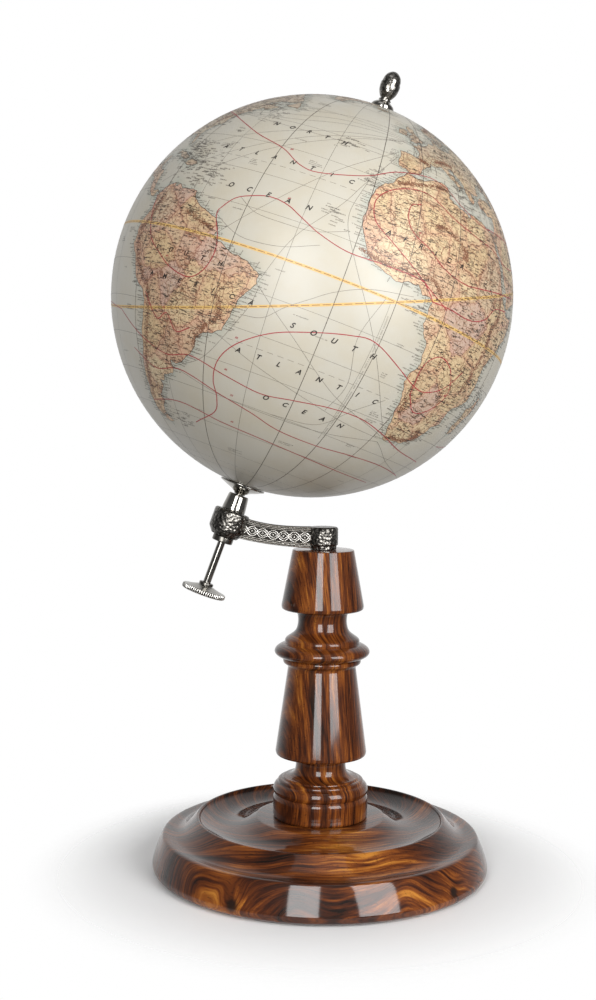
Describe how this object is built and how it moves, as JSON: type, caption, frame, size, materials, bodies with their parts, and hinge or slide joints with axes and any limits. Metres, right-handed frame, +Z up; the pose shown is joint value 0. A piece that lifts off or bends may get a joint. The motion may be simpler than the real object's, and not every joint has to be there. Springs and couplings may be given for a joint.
{
  "type": "desktop globe on stand",
  "caption": "Terrestrial desk globe that spins on a leaning spindle, held by a cast arm on a turned wooden column and base.",
  "frame": {"origin": "centre of the round underside, on the surface it stands on", "axes": "+Z up along the column, arm towards -X, the ball's axis leans towards +X in the XZ plane"},
  "size_m": [0.32, 0.32, 0.6416],
  "materials": {
    "sheesham": "oiled dark sheesham with black and golden figure under gloss lacquer",
    "nickel": "polished nickel plate",
    "cast_nickel": "antiqued nickel on a cast arm, hammered, dark in the recesses",
    "steel": "zinc-plated fixings",
    "brass": "plain turned bush",
    "felt": "dark green pressed felt",
    "map_paper": "aged printed paper under satin varnish",
    "ball_shell": "moulded shell",
    "beech": "plain turned wood"
  },
  "bodies": {
    "stand": {"felt_pad": "felt", "base_disc": "sheesham", "column": "sheesham", "tie_rod": "steel", "base_washer": "steel", "base_nut": "steel", "arm": "cast_nickel", "boss_bush": "brass", "taper_sleeve": "nickel"},
    "spindle": {"axle": "nickel", "lock_collar": "cast_nickel", "wheel_jam_nut": "cast_nickel", "thumb_wheel": "nickel", "finial_flange": "nickel", "acorn_finial": "nickel"},
    "ball": {"hemisphere_north": "ball_shell", "hemisphere_south": "ball_shell", "equator_ring": "ball_shell", "north_bushing": "beech", "south_bushing": "beech", "north_washer": "nickel", "dished_washer": "nickel", "map_gore_01": "map_paper", "map_gore_02": "map_paper", "map_gore_03": "map_paper", "map_gore_04": "map_paper", "map_gore_05": "map_paper", "map_gore_06": "map_paper", "map_gore_07": "map_paper", "map_gore_08": "map_paper", "map_gore_09": "map_paper", "map_gore_10": "map_paper", "map_gore_11": "map_paper", "map_gore_12": "map_paper"}
  },
  "joints": [
    {"name": "spindle_turn", "type": "hinge", "parent": "stand", "child": "spindle", "pos_m": [-0.0119, 0, 0.457], "axis": [0.3363, 0, 0.9418], "continuous": true},
    {"name": "ball_spin", "type": "hinge", "parent": "spindle", "child": "ball", "pos_m": [-0.0119, 0, 0.457], "axis": [0.3363, 0, 0.9418], "continuous": true}
  ]
}
